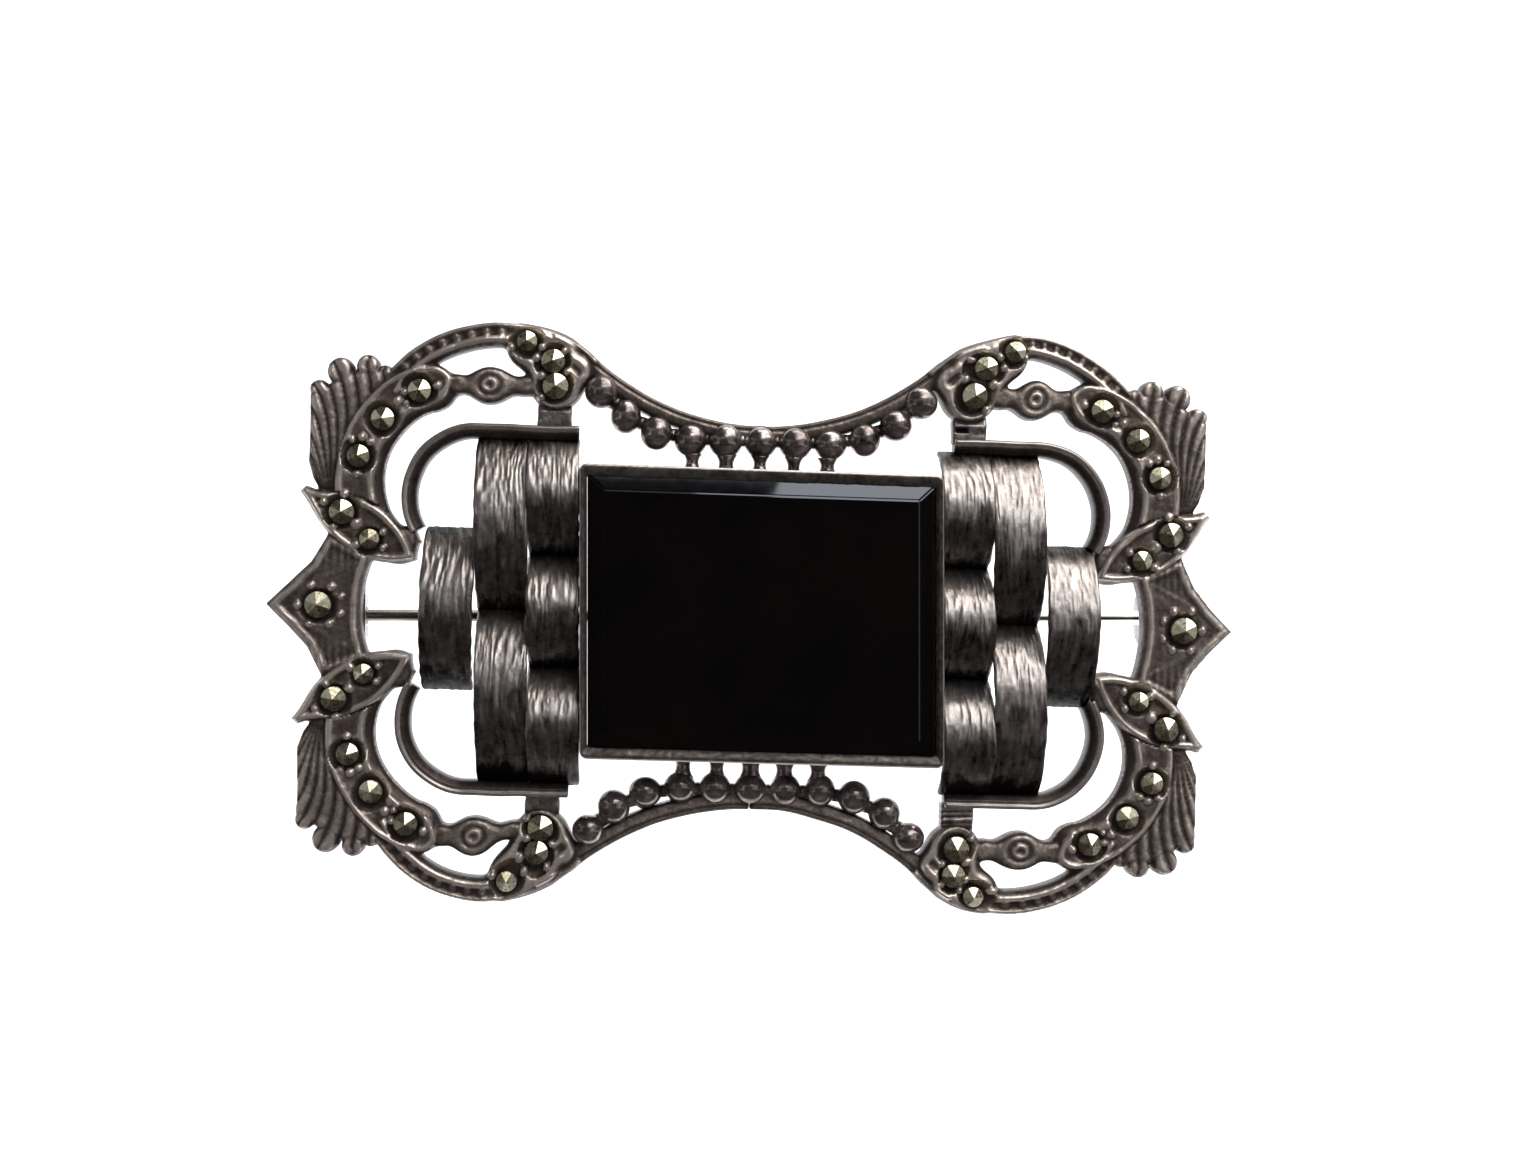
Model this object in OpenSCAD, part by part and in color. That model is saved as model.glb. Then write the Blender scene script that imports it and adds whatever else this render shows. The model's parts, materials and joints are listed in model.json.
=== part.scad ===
// Openwork bar brooch: a bevelled black stone in a box bezel, three rippled ribbons on
// each side of it, and a cast frame set with small faceted stones. A hinged pin and a
// roll-over catch are on the back.
// +X is the wearer's view to the right, +Z is up and the front faces -Y. The origin is the
// centre of the flat back of the stone's setting, which lies against the garment.

/* [Size] */
// Length of the brooch from point to point
brooch_l = 60; // [58:0.5:62]
// Thickness of the cast frame
frame_t = 2.2; // [1.8:0.1:2.4]

/* [Centre stone] */
// Width of the bezel across the outside
bezel_w = 21.8; // [21:0.1:21.9]
// Height of the bezel across the outside
bezel_h = 17.9; // [16:0.1:17.9]
// Depth of the bezel from the back of the brooch to its lip
bezel_d = 4.8; // [4:0.1:5.2]
// Thickness of the bezel's strip
bezel_t = 0.6; // [0.5:0.05:0.7]
// Thickness of the plate that the stone rests on
seat_t = 1.4; // [1:0.1:1.8]
// How far the stone's flat top stands above the bezel's lip
stone_proud = 0.3; // [0.1:0.05:0.4]
// Width of the bevel round the stone's flat top
stone_bevel = 0.9; // [0.6:0.1:1.2]

/* [Ribbons] */
// Width of each ribbon
ribbon_w = 2.95; // [2.9:0.05:3]
// Gap between a ribbon and its neighbour
ribbon_gap = 0.25; // [0.2:0.05:0.25]
// Thickness of a ribbon
ribbon_t = 0.4; // [0.3:0.05:0.5]
// How far the crests of the ribbons stand out from the back plane
crest_d = 4.5; // [3.6:0.1:4.8]
// Depth of the valleys and the ends, from the back plane
valley_d = 1.3; // [1:0.1:1.6]

/* [Frame] */
// Outer radius of the scroll at each corner
scroll_r = 8.65; // [8.4:0.05:8.8]
// Width of the scroll's band
scroll_w = 1.5; // [1.2:0.1:1.6]
// Width of the rails between the scrolls
rail_w = 0.95; // [0.9:0.05:1]
// Thickness of the rails
rail_t = 1.5; // [1.2:0.1:1.8]
// Inner radius of the crescent
crescent_in = 4.4; // [4.2:0.1:4.5]
// Outer radius of the crescent
crescent_out = 7.4; // [7.2:0.1:7.5]
// Outer radius of the small ring beside the crescent
ring_r = 1.22; // [1.1:0.02:1.3]
// Length of a leaf
leaf_l = 8; // [7.6:0.1:8.2]
// Width of a leaf
leaf_w = 3.3; // [3:0.1:3.4]
// Width of the bent wire, seen from the front
wire_w = 0.9; // [0.7:0.05:1]
// Depth of the bent wire
wire_d = 2; // [1.6:0.1:2.1]

/* [Beads] */
// Radius of a bead
bead_r = 0.92; // [0.9:0.01:0.95]
// Distance from bead to bead along the row
bead_pitch = 2.1; // [2:0.02:2.12]

/* [Pin and catch] */
// Distance of the pin's axis behind the back plane
pin_y = 3.1; // [3:0.1:3.6]
// Tilt of the pin's line against the brooch's long axis, in degrees
pin_tilt = 1.5; // [0:0.1:2]
// Radius of the pin's straight shank
pin_r = 0.36; // [0.3:0.02:0.4]
// Radius of the hinge rivet
rivet_r = 0.4; // [0.35:0.05:0.45]

/* [Hidden] */
$fn = 64;
far = 40;

// Colours
oxidised = [0.30, 0.26, 0.24];
silver = [0.62, 0.60, 0.58];
pyrite = [0.78, 0.76, 0.60];
black_stone = [0.03, 0.02, 0.03];

// Places in one quarter of the frame, as [x, z] from the centre
tip_x = brooch_l / 2;
scroll_c = [16.3, 9.4];
crescent_c = [19.1, 8.1];
ring_c = [17, 14.1];
wire_c = [17.45, 6.9];
wire_r = 4.55;
leaf_c = [24.6, 5];
leaf_turn = 30.6;
joint_c = [22, 4.3];
joint_r = 0.85;
rail_cz = 28;
rail_r = norm([scroll_c[0], rail_cz - scroll_c[1]]) - scroll_r;
rail_end = scroll_c[0] * rail_r / (rail_r + scroll_r);
wire_top = wire_c[1] + wire_r;
cluster_lobes = [[12.9, 14.3, 1.75], [13.3, 15.6, 1.8], [14.6, 16.6, 1.5]];
fan_lobes = [[24.3, 14.7, 0.85], [26, 14.45, 0.9], [27, 13.1, 0.8]];
neck_x = [14, 19.4];
neck_w = 0.66;
crescent_from = 4.2;
notch_c = [15.25, 0];
notch_r = 9.1;

// Small stones in one quarter: [x, z, radius]
stones = [
    [25.83, 5.91, 0.75], [24.04, 4.26, 0.6],
    [25.03, 9.46, 0.68], [23.57, 11.76, 0.7], [21.28, 13.52, 0.7],
    [13.1, 14, 0.78], [13.35, 15.6, 0.72], [14.9, 16.85, 0.62]
];
point_stone = [26.8, 0, 0.8];
stone_seat = 0.5;
stone_rise = 0.35;
stone_play = 0.02;

// Depths of the tabs, and the row of beads
tab_d = 1.4;
tab_x = [12, 14.1];
bead_y = -rail_t;
bead_z = 10.85;
bead_bend = 4;
bead_bend_r = 7;
bead_count = 5;
post_count = 2;
post_r = 0.4;

// Ribbons: where each starts, and the ends and crests of its waves along Z
ribbon_start = 11.25;
ribbon_step = ribbon_w + ribbon_gap;
wire_in = wire_top - wire_w;
inner_waves = [[-wire_in, -6.9, -3.45], [-3.45, 0, 3.45], [3.45, 6.9, wire_in]];
middle_waves = [[-wire_in, -4.9, 0], [0, 4.9, wire_in]];
outer_end = 4.85;
outer_waves = [[-outer_end, 0, outer_end]];
wave_steps = 12;

// Hinge and catch, along the pin's line
hinge_x = -25.3;
knuckle_r = 0.9;
knuckle_w = 1.2;
ear_t = 0.7;
ear_gap = 0.05;
base_t = 0.5;
hinge_plate = [3, 4];
rivet_play = 0.05;
rivet_head_r = rivet_r + 0.25;
rivet_head_h = 0.3;
taper_x = 5;
pin_end = 28.4;
pin_end_r = 0.08;
catch_x = 26.2;
catch_plate = [2.8, 3];
stalk_w = 1.6;
housing_l = 1.5;
housing_r = 1.9;
rotor_r = 1.3;
rotor_play = 0.05;
rotor_bore = 0.45;
flange_r = 1.7;
flange_t = 0.35;
thumb_l = 3;
thumb_w = 0.9;
thumb_turn = -35;

// Helpers
module slab(front, back) {
    translate([0, -back, 0])
        rotate([90, 0, 0])
            linear_extrude(front - back)
                children();
}

module left() {
    mirror([1, 0, 0])
        children();
}

module lower() {
    mirror([0, 0, 1])
        children();
}

module ring_2d(c, r_in, r_out) {
    translate(c)
        difference() {
            circle(r_out);
            circle(r_in);
        }
}

// Frame, drawn as one quarter and mirrored
module rail_2d() {
    intersection() {
        ring_2d([0, rail_cz], rail_r, rail_r + rail_w);
        square([rail_end + 0.4, rail_cz]);
    }
}

module scroll_2d() {
    intersection() {
        ring_2d(scroll_c, scroll_r - scroll_w, scroll_r);
        polygon([scroll_c, [0, rail_cz], [far, rail_cz], [far, scroll_c[1] + 14]]);
    }
}

module cluster_2d() {
    intersection() {
        union() {
            for (lobe = cluster_lobes)
                translate([lobe[0], lobe[1]])
                    circle(lobe[2]);
        }
        translate(scroll_c)
            circle(scroll_r);
    }
}

module link_2d() {
    translate(ring_c)
        circle(ring_r);
    translate([neck_x[0], ring_c[1] - neck_w / 2])
        square([neck_x[1] - neck_x[0], neck_w]);
}

module crescent_2d() {
    intersection() {
        ring_2d(crescent_c, crescent_in, crescent_out);
        translate([crescent_c[0] - 0.1, crescent_from])
            square([far, 12]);
    }
}

module fan() {
    difference() {
        union() {
            for (lobe = fan_lobes)
                slab(frame_t, 0)
                    translate([lobe[0], lobe[1]])
                        circle(lobe[2]);
            slab(frame_t, 0)
                polygon([
                    [22.6, 14.6], [23.6, 15.2], [25.2, 14.6], [26.9, 13.9], [27.8, 13.1],
                    [27.8, 9.5], [27.2, 8.3], [26.8, 7], [24, 7]
                ]);
        }
        slab(frame_t + 1, -1)
            translate(crescent_c)
                circle(crescent_out - 0.2);
    }
}

module leaf_2d() {
    sag = leaf_w / 2;
    r = (pow(leaf_l / 2, 2) + pow(sag, 2)) / (2 * sag);
    translate(leaf_c)
        rotate(leaf_turn)
            intersection() {
                translate([0, sag - r])
                    circle(r);
                translate([0, r - sag])
                    circle(r);
            }
}

module quarter_frame() {
    slab(rail_t, 0)
        rail_2d();
    slab(frame_t, 0)
        scroll_2d();
    slab(frame_t, 0)
        cluster_2d();
    slab(frame_t, 0)
        link_2d();
    slab(frame_t, 0)
        crescent_2d();
    fan();
    slab(frame_t, 0)
        leaf_2d();
    slab(frame_t, 0)
        translate(joint_c)
            circle(joint_r);
}

module point_2d() {
    difference() {
        polygon([
            [23.8, 3.3], [26.6, 4.6], [27.5, 2.7], [28.7, 1.3], [tip_x, 0],
            [28.7, -1.3], [27.5, -2.7], [26.6, -4.6], [23.8, -3.3]
        ]);
        translate(notch_c)
            circle(notch_r);
    }
}

module half_frame() {
    difference() {
        union() {
            quarter_frame();
            lower()
                quarter_frame();
            slab(frame_t, 0)
                point_2d();
        }
        for (s = concat(stones, [point_stone]))
            for (side = [1, -1])
                translate([s[0], -frame_t + stone_seat, side * s[1]])
                    rotate([90, 0, 0])
                        cylinder(r = s[2] + stone_play, h = 2);
    }
}

module left_frame() {
    color(oxidised)
        left()
            half_frame();
}

module right_frame() {
    color(oxidised)
        half_frame();
}

// Small faceted stones
module marcasite(s) {
    translate([s[0], -frame_t + stone_seat, s[1]])
        rotate([90, 0, 0]) {
            cylinder(r = s[2], h = stone_seat);
            translate([0, 0, stone_seat])
                cylinder(r1 = s[2], r2 = s[2] / 4, h = stone_rise);
        }
}

module quarter_marcasites() {
    for (s = stones)
        marcasite(s);
}

module upper_right_marcasites() {
    color(pyrite)
        quarter_marcasites();
}

module lower_right_marcasites() {
    color(pyrite)
        lower()
            quarter_marcasites();
}

module upper_left_marcasites() {
    color(pyrite)
        left()
            quarter_marcasites();
}

module lower_left_marcasites() {
    color(pyrite)
        left()
            lower()
                quarter_marcasites();
}

module right_point_marcasite() {
    color(pyrite)
        marcasite(point_stone);
}

module left_point_marcasite() {
    color(pyrite)
        left()
            marcasite(point_stone);
}

// Beads: the middle of the row is straight and its ends bend up along the rail
function bead_turn(i) = max(0, abs(i) * bead_pitch - bead_bend) / bead_bend_r * 180 / PI;
function bead_x(i) =
    sign(i) * (min(abs(i) * bead_pitch, bead_bend) + bead_bend_r * sin(bead_turn(i)));
function bead_height(i) = bead_z + bead_bend_r * (1 - cos(bead_turn(i)));

module bead(i) {
    translate([bead_x(i), bead_y, bead_height(i)])
        rotate([90, 0, 0])
            sphere(bead_r);
}

module half_bead_row(first) {
    difference() {
        for (i = [first : bead_count])
            bead(i);
        slab(rail_t, 0)
            ring_2d([0, rail_cz], rail_r, rail_r + rail_w);
    }
}

module bead_row() {
    half_bead_row(0);
    left()
        half_bead_row(1);
}

module post_row() {
    difference() {
        for (i = [-post_count : post_count])
            translate([bead_x(i), bead_y, bezel_h / 2])
                cylinder(r = post_r, h = bead_height(i) - bezel_h / 2);
        for (i = [-post_count : post_count])
            bead(i);
    }
}

module top_beads() {
    color(oxidised)
        bead_row();
}

module bottom_beads() {
    color(oxidised)
        lower()
            bead_row();
}

module top_posts() {
    color(oxidised)
        post_row();
}

module bottom_posts() {
    color(oxidised)
        lower()
            post_row();
}

// Centre stone and its setting
module plate_2d(margin) {
    square([bezel_w - 2 * margin, bezel_h - 2 * margin], center = true);
}

module bezel_wall() {
    color(oxidised)
        slab(bezel_d, 0)
            difference() {
                plate_2d(0);
                plate_2d(bezel_t);
            }
}

module bezel_seat() {
    color(silver)
        slab(seat_t, 0)
            plate_2d(bezel_t);
}

module onyx() {
    color(black_stone) {
        slab(bezel_d, seat_t)
            plate_2d(bezel_t + stone_play);
        slab(bezel_d + stone_proud, bezel_d)
            plate_2d(bezel_t + stone_bevel);
    }
}

// Ribbons: each wave is two quarters of an oval that meet at its crest
function wave_point(w, a) =
    let (
        half = a < 90 ? w[1] - w[0] : w[2] - w[1],
        rise = crest_d - ribbon_t - valley_d
    )
    [-valley_d - rise * sin(a), w[1] - half * cos(a)];

function wave_line(waves) = [
    for (w = waves)
        for (i = [0 : wave_steps])
            if (i > 0 || w[0] == waves[0][0])
                wave_point(w, 180 * i / wave_steps)
];

module ribbon(place, waves) {
    line = wave_line(waves);
    front = [for (p = line) [p[0] - ribbon_t, p[1]]];
    back = [for (i = [len(line) - 1 : -1 : 0]) line[i]];
    translate([ribbon_start + place * ribbon_step, 0, 0])
        rotate([90, 0, 90])
            linear_extrude(ribbon_w)
                polygon(concat(front, back));
}

module right_inner_ribbon() {
    color(silver)
        ribbon(0, inner_waves);
}

module right_middle_ribbon() {
    color(silver)
        ribbon(1, middle_waves);
}

module right_outer_ribbon() {
    color(silver)
        ribbon(2, outer_waves);
}

module left_inner_ribbon() {
    color(silver)
        left()
            ribbon(0, inner_waves);
}

module left_middle_ribbon() {
    color(silver)
        left()
            ribbon(1, middle_waves);
}

module left_outer_ribbon() {
    color(silver)
        left()
            ribbon(2, outer_waves);
}

// Bent wires that hold the ribbons' ends
module quarter_wire() {
    slab(wire_d, 0)
        difference() {
            union() {
                intersection() {
                    ring_2d(wire_c, wire_r - wire_w, wire_r);
                    translate([wire_c[0], outer_end])
                        square([wire_r + 1, wire_r + 4]);
                }
                translate([ribbon_start, wire_in])
                    square([wire_c[0] - ribbon_start, wire_w]);
            }
            translate(joint_c)
                circle(joint_r);
        }
}

module upper_right_wire() {
    color(oxidised)
        quarter_wire();
}

module lower_right_wire() {
    color(oxidised)
        lower()
            quarter_wire();
}

module upper_left_wire() {
    color(oxidised)
        left()
            quarter_wire();
}

module lower_left_wire() {
    color(oxidised)
        left()
            lower()
                quarter_wire();
}

// Tabs that tie the wires to the frame
module quarter_tab() {
    slab(tab_d, 0)
        difference() {
            translate([tab_x[0], wire_top])
                square([tab_x[1] - tab_x[0], 2.5]);
            cluster_2d();
        }
}

module upper_right_tab() {
    color(silver)
        quarter_tab();
}

module lower_right_tab() {
    color(silver)
        lower()
            quarter_tab();
}

module upper_left_tab() {
    color(silver)
        left()
            quarter_tab();
}

module lower_left_tab() {
    color(silver)
        left()
            lower()
                quarter_tab();
}

// Hinge, pin and catch, built along X and then turned onto the pin's line
module on_pin_line() {
    rotate([0, -pin_tilt, 0])
        children();
}

module base_plate(x, size) {
    translate([x - size[0] / 2, 0, -size[1] / 2])
        cube([size[0], base_t, size[1]]);
}

module ear() {
    linear_extrude(ear_t)
        difference() {
            union() {
                translate([hinge_x, pin_y])
                    circle(knuckle_r);
                translate([hinge_x - knuckle_r, base_t])
                    square([2 * knuckle_r, pin_y - base_t]);
            }
            translate([hinge_x, pin_y])
                circle(rivet_r + 0.01);
        }
}

module hinge_base() {
    ear_z = knuckle_w / 2 + ear_gap;
    color(silver)
        on_pin_line() {
            base_plate(hinge_x - 0.4, hinge_plate);
            translate([0, 0, ear_z])
                ear();
            translate([0, 0, -ear_z - ear_t])
                ear();
        }
}

module hinge_rivet() {
    grip = knuckle_w / 2 + ear_gap + ear_t;
    color(silver)
        on_pin_line()
            translate([hinge_x, pin_y, 0]) {
                cylinder(r = rivet_r, h = 2 * grip, center = true);
                for (side = [1, -1])
                    translate([0, 0, side * (grip + rivet_head_h / 2)])
                        cylinder(r = rivet_head_r, h = rivet_head_h, center = true);
            }
}

module pin_stem() {
    color(silver)
        on_pin_line()
            difference() {
                union() {
                    translate([hinge_x, pin_y, 0])
                        cylinder(r = knuckle_r, h = knuckle_w, center = true);
                    translate([hinge_x, pin_y, 0])
                        rotate([0, 90, 0])
                            cylinder(r = pin_r, h = taper_x - hinge_x);
                    translate([taper_x, pin_y, 0])
                        rotate([0, 90, 0])
                            cylinder(r1 = pin_r, r2 = pin_end_r, h = pin_end - taper_x);
                }
                translate([hinge_x, pin_y, 0])
                    cylinder(r = rivet_r + rivet_play, h = 4, center = true);
            }
}

module catch_base() {
    color(silver)
        on_pin_line()
            base_plate(catch_x, catch_plate);
}

// Rod along the pin's line, centred on x
module rod(x, r, l) {
    translate([x, pin_y, 0])
        rotate([0, 90, 0])
            cylinder(r = r, h = l, center = true);
}

// Way in for the pin, open away from the garment
module pin_way(l) {
    translate([catch_x - l / 2, pin_y, -rotor_bore])
        cube([l, 4, 2 * rotor_bore]);
}

module catch_housing() {
    color(silver)
        on_pin_line()
            difference() {
                union() {
                    rod(catch_x, housing_r, housing_l);
                    translate([catch_x - housing_l / 2, base_t, -stalk_w / 2])
                        cube([housing_l, pin_y - base_t, stalk_w]);
                }
                rod(catch_x, rotor_r + rotor_play, 4);
                pin_way(4);
            }
}

module catch_rotor() {
    flange_x = housing_l / 2 + rotor_play + flange_t / 2;
    color(silver)
        on_pin_line()
            difference() {
                union() {
                    rod(catch_x, rotor_r, 2 * flange_x);
                    for (side = [1, -1])
                        rod(catch_x + side * flange_x, flange_r, flange_t);
                    translate([catch_x - flange_x, pin_y, 0])
                        rotate([thumb_turn, 0, 0])
                            translate([-flange_t / 2, -thumb_w / 2, -thumb_l])
                                cube([flange_t, thumb_w, thumb_l]);
                }
                rod(catch_x, rotor_bore, 6);
                pin_way(6);
            }
}

left_frame();
right_frame();
top_beads();
bottom_beads();
top_posts();
bottom_posts();
bezel_wall();
bezel_seat();
onyx();
left_inner_ribbon();
left_middle_ribbon();
left_outer_ribbon();
right_inner_ribbon();
right_middle_ribbon();
right_outer_ribbon();
upper_left_wire();
lower_left_wire();
upper_right_wire();
lower_right_wire();
upper_left_tab();
lower_left_tab();
upper_right_tab();
lower_right_tab();
upper_left_marcasites();
lower_left_marcasites();
left_point_marcasite();
upper_right_marcasites();
lower_right_marcasites();
right_point_marcasite();
hinge_base();
hinge_rivet();
pin_stem();
catch_base();
catch_housing();
catch_rotor();
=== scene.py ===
"""Looks of an openwork brooch: oxidised cast silver, bark-textured ribbons, marcasites and onyx."""
import json
import math

import bmesh
import bpy
import numpy as np
from mathutils import Matrix, Vector


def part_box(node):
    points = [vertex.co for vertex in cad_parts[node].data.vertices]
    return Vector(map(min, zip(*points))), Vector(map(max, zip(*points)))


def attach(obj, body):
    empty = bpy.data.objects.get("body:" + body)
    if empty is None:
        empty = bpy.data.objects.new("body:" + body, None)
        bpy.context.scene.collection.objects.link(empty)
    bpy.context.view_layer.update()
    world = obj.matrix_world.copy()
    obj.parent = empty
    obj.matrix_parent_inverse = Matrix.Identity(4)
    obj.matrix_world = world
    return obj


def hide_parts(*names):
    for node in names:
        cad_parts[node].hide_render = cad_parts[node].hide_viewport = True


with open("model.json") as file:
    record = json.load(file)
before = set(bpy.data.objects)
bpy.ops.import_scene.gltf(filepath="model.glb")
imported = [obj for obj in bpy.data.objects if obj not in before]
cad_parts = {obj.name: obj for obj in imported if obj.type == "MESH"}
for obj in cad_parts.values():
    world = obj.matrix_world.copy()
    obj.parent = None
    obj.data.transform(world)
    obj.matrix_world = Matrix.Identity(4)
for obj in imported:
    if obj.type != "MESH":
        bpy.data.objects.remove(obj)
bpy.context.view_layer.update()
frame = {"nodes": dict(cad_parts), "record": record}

MM = 0.001
NODES = frame["nodes"]
BODIES = frame["record"]["behaviour"]["bodies"]


# ---------------------------------------------------------------- camera, light and floor
VIEW_YAW, VIEW_PITCH, VIEW_ROLL = math.radians(3.0), math.radians(-0.4), math.radians(1.75)
VIEW_DISTANCE = 140 * MM
VIEW_OFFSET = (-0.25 * MM, -2.24 * MM)
LENS, SENSOR = 53.0, 36
CLIP_NEAR, CLIP_FAR = 0.005, 20


def studio_camera():
    """A nearly level camera close to the front, turned a little and leaning a little to one side."""
    turn = (Matrix.Rotation(VIEW_ROLL, 3, "Y") @ Matrix.Rotation(VIEW_PITCH, 3, "X")
            @ Matrix.Rotation(VIEW_YAW, 3, "Z"))
    right, forward, up = turn
    place = -(turn.transposed() @ Vector((VIEW_OFFSET[0], VIEW_DISTANCE, VIEW_OFFSET[1])))
    data = bpy.data.cameras.new("studio_camera")
    data.lens, data.sensor_width = LENS, SENSOR
    data.clip_start, data.clip_end = CLIP_NEAR, CLIP_FAR
    camera = new_object("studio_camera", data)
    camera.matrix_world = Matrix.Translation(place) @ Matrix((right, up, -forward)).transposed().to_4x4()
    bpy.context.scene.camera = camera


def area_light(name, place, target, size, watts, colour):
    """A rectangular lamp turned towards its target."""
    data = bpy.data.lights.new(name, "AREA")
    data.shape, data.size, data.size_y = "RECTANGLE", size[0], size[1]
    data.energy, data.color = watts, linear(colour)[:3]
    light = new_object(name, data)
    light.location = place
    light.rotation_euler = (Vector(target) - Vector(place)).to_track_quat("-Z", "Y").to_euler()


def new_object(name, data):
    made = bpy.data.objects.new(name, data)
    bpy.context.scene.collection.objects.link(made)
    return made


def linear(colour):
    """An sRGB hex colour as linear red, green, blue and alpha."""
    parts = [int(colour[i:i + 2], 16) / 255 for i in (1, 3, 5)]
    return [c / 12.92 if c <= 0.04045 else ((c + 0.055) / 1.055) ** 2.4 for c in parts] + [1]


# ---------------------------------------------------------------- node and noise helpers
def add(tree, kind, settings=None, links=None):
    """Adds a shader node, gives its sockets and properties their values and links its inputs."""
    node = tree.nodes.new("ShaderNode" + kind)
    for key, value in (settings or {}).items():
        if isinstance(key, str) and hasattr(node, key):
            setattr(node, key, value)
        else:
            node.inputs[key].default_value = value
    for key, source in (links or {}).items():
        tree.links.new(source, node.inputs[key])
    return node


def new_material(name):
    material = bpy.data.materials.new(name)
    material.use_nodes = True
    material.node_tree.nodes.clear()
    return material, material.node_tree


def finish_material(tree, settings, links=None):
    """Adds the shader and the output."""
    shader = add(tree, "BsdfPrincipled", settings, links)
    add(tree, "OutputMaterial", links={"Surface": shader.outputs["BSDF"]})


def ramp(tree, source, stops):
    """A colour ramp through (position, hex colour) stops."""
    node = add(tree, "ValToRGB", links={"Fac": source})
    elements = node.color_ramp.elements
    while len(elements) < len(stops):
        elements.new(0.5)
    for element, (position, colour) in zip(elements, stops):
        element.position, element.color = position, linear(colour)
    return node


def value_noise(u, v, seed):
    """Smooth noise from -1 to 1 over two coordinates, the same on every run."""
    table = np.random.default_rng(seed).uniform(-1, 1, (257, 257))
    i, j = np.floor(u).astype(int), np.floor(v).astype(int)
    a, b = u - i, v - j
    a, b = a * a * (3 - 2 * a), b * b * (3 - 2 * b)
    i, j = i % 256, j % 256
    near = table[i, j] * (1 - a) + table[i + 1, j] * a
    far = table[i, j + 1] * (1 - a) + table[i + 1, j + 1] * a
    return near * (1 - b) + far * b


# ---------------------------------------------------------------- mesh helpers
def piece(name, points, faces, nodes, material, smooth=True, wear_and_painted_light=None):
    """A mesh with its points in millimetres. It stands for CAD nodes and rides on their body."""
    mesh = bpy.data.meshes.new(name)
    mesh.from_pydata((np.asarray(points, float) * MM).tolist(), [], faces)
    mesh.validate()
    smooth_faces(mesh, smooth)
    # A value for each point: how worn it is, and on the ribbons also painted light and shade
    if wear_and_painted_light is not None:
        layer = mesh.attributes.new("wear_and_painted_light", "FLOAT", "POINT")
        layer.data.foreach_set("value", np.asarray(wear_and_painted_light, np.float32))
    return fit_out(new_object(name, mesh), nodes, material)


def from_work(name, work):
    """The object that a bmesh holds."""
    mesh = bpy.data.meshes.new(name)
    work.to_mesh(mesh)
    work.free()
    return new_object(name, mesh)


def smooth_faces(mesh, smooth=True):
    mesh.polygons.foreach_set("use_smooth", [smooth] * len(mesh.polygons))


def fit_out(made, nodes, material):
    """Gives a finished object its material and body, in place of its CAD nodes."""
    made.data.materials.clear()
    made.data.materials.append(material)
    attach(made, next(body for body, members in BODIES.items() if nodes[0] in members))
    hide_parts(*nodes)
    return made


def loft(sections, ring=False):
    """Points and faces of a closed tube through closed sections of equal length.
    With ring, the last section joins the first; otherwise both ends are capped."""
    sections = np.asarray(sections, float)
    count, around = sections.shape[:2]
    faces = []
    for i in range(count if ring else count - 1):
        a, b = i * around, (i + 1) % count * around
        for k in range(around):
            n = (k + 1) % around
            faces.append((a + k, a + n, b + n, b + k))
    if not ring:
        faces.append(tuple(range(around))[::-1])
        faces.append(tuple((count - 1) * around + k for k in range(around)))
    return sections.reshape(-1, 3), faces


def welded(mesh):
    """A bmesh of the mesh, with its doubled points merged."""
    work = bmesh.new()
    work.from_mesh(mesh)
    bmesh.ops.remove_doubles(work, verts=work.verts, dist=1e-7)
    return work


def islands(node):
    """Centre and size, in millimetres, of each separate solid in a CAD node, from left to right."""
    work = welded(NODES[node].data)
    left, found = set(work.verts), []
    while left:
        stack, members = [left.pop()], []
        while stack:
            vertex = stack.pop()
            members.append(vertex.co)
            for edge in vertex.link_edges:
                other = edge.other_vert(vertex)
                if other in left:
                    left.remove(other)
                    stack.append(other)
        points = np.array(members) / MM
        low, high = points.min(0), points.max(0)
        found.append(((low + high) / 2, high - low))
    work.free()
    return sorted(found, key=lambda item: item[0][0])


def flipped(faces):
    return [face[::-1] for face in faces]


def run_length(points):
    """The distance along a line of points, at each point."""
    return np.concatenate([[0], np.cumsum(np.hypot(*np.diff(points, axis=0).T))])


def box_mm(node):
    low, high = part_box(node)
    return np.array(low) / MM, np.array(high) / MM


def softened(name, node, material, width):
    """A copy of a CAD node's shape with its sharp edges rounded by the given width in millimetres."""
    crease = math.radians(35)
    made = new_object(name, NODES[node].data.copy())
    work = welded(made.data)
    bmesh.ops.dissolve_limit(work, angle_limit=math.radians(0.5), verts=work.verts, edges=work.edges)
    sharp = [e for e in work.edges if e.is_manifold and e.calc_face_angle() > crease]
    bmesh.ops.bevel(work, geom=sharp, offset=width * MM, segments=3, affect="EDGES", clamp_overlap=True)
    bmesh.ops.triangulate(work, faces=[f for f in work.faces if len(f.verts) > 4])
    work.to_mesh(made.data)
    work.free()
    smooth_faces(made.data)
    made.data.set_sharp_from_angle(angle=crease)
    return fit_out(made, [node], material)


# ---------------------------------------------------------------- distances in the frame's plane
def disc(x, z, centre, radius):
    return np.hypot(x - centre[0], z - centre[1]) - radius


def band(x, z, centre, r_in, r_out):
    return np.abs(disc(x, z, centre, (r_in + r_out) / 2)) - (r_out - r_in) / 2


def beyond(x, z, point, way):
    """Distance past a straight line through a point, in the direction given."""
    return (x - point[0]) * way[0] + (z - point[1]) * way[1]


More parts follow.
